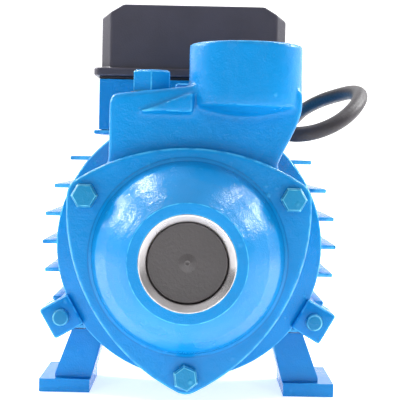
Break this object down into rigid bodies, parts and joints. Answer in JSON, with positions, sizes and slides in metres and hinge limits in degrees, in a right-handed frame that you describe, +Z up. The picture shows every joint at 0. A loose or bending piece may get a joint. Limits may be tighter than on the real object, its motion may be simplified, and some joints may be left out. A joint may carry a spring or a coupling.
{
  "type": "centrifugal water pump",
  "caption": "Close-coupled centrifugal water pump: axial suction port, upright discharge port, finned motor on feet, terminal box and coiled lead.",
  "frame": {"origin": "on the ground under the middle of the pump, free cable left out", "axes": "+Z up, +Y along the shaft from the suction port to the fan, +X to the right seen from the suction side"},
  "size_m": [0.1423, 0.3469, 0.1737],
  "materials": {
    "blue_enamel": "glossy enamel over cast metal",
    "teal_enamel": "enamel worn at the edges",
    "black_plastic": "moulded, matte",
    "grey_plastic": "moulded, satin",
    "black_rubber": "matte",
    "fibre": "pressed fibre",
    "brass": "cast and turned",
    "laminations": "stacked sheet",
    "copper": "varnished wire",
    "ceramic": "ground",
    "carbon": "lapped",
    "steel": "turned"
  },
  "bodies": {
    "root": {"front_cover": "blue_enamel", "cover_bolt_1": "teal_enamel", "cover_bolt_2": "teal_enamel", "cover_bolt_3": "teal_enamel", "cover_gasket": "fibre", "pump_casing": "blue_enamel", "priming_washer": "fibre", "front_bracket": "blue_enamel", "bracket_bolt_1": "teal_enamel", "bracket_bolt_2": "teal_enamel", "bracket_bolt_3": "teal_enamel", "motor_frame": "blue_enamel", "foot_right": "blue_enamel", "foot_left": "blue_enamel", "rear_end_shield": "blue_enamel", "fan_cover": "blue_enamel", "fan_cover_screw_1": "steel", "fan_cover_screw_2": "steel", "fan_cover_screw_3": "steel", "stator_core": "laminations", "winding_front": "copper", "winding_rear": "copper", "seal_seat": "ceramic", "seal_seat_boot": "black_rubber", "front_bearing_outer_race": "steel", "rear_bearing_outer_race": "steel", "wave_washer": "steel", "terminal_base": "blue_enamel", "terminal_lid": "black_plastic", "lid_gasket": "black_rubber", "capacitor": "grey_plastic", "terminal_block": "grey_plastic", "gland_body": "black_plastic", "gland_nut": "black_plastic", "cable": "black_rubber", "cable_coil": "black_rubber", "cable_tail": "black_rubber", "plug": "black_rubber"},
    "rotor": {"shaft": "steel", "impeller_key": "steel", "rotor_core": "laminations", "impeller": "brass", "impeller_nut": "brass", "seal_face": "carbon", "seal_spring": "steel", "slinger": "black_rubber", "fan": "black_plastic", "fan_clip": "steel", "front_bearing_inner_race": "steel", "rear_bearing_inner_race": "steel"},
    "front_balls": {"front_bearing_ball_cage": "steel"},
    "rear_balls": {"rear_bearing_ball_cage": "steel"},
    "priming_plug": {"priming_plug": "blue_enamel"},
    "suction_plug": {"suction_plug": "grey_plastic"}
  },
  "joints": [
    {"name": "rotor_spin", "type": "hinge", "parent": "root", "child": "rotor", "pos_m": [0, -0.045, 0.0655], "axis": [0, 1, 0], "continuous": true},
    {"name": "front_balls_spin", "type": "hinge", "parent": "root", "child": "front_balls", "pos_m": [0, -0.0384, 0.0655], "axis": [0, 1, 0], "continuous": true},
    {"name": "rear_balls_spin", "type": "hinge", "parent": "root", "child": "rear_balls", "pos_m": [0, 0.0673, 0.0655], "axis": [0, 1, 0], "continuous": true},
    {"name": "priming_plug_lift", "type": "slide", "parent": "root", "child": "priming_plug", "axis": [0, 0, 1], "range_m": [0, 0.013]},
    {"name": "suction_plug_pull", "type": "slide", "parent": "root", "child": "suction_plug", "axis": [0, -1, 0], "range_m": [0, 0.02]}
  ],
  "couplings": [
    {"joint": "front_balls_spin", "follows": "rotor_spin", "ratio": 0.3818},
    {"joint": "rear_balls_spin", "follows": "rotor_spin", "ratio": 0.3818}
  ]
}
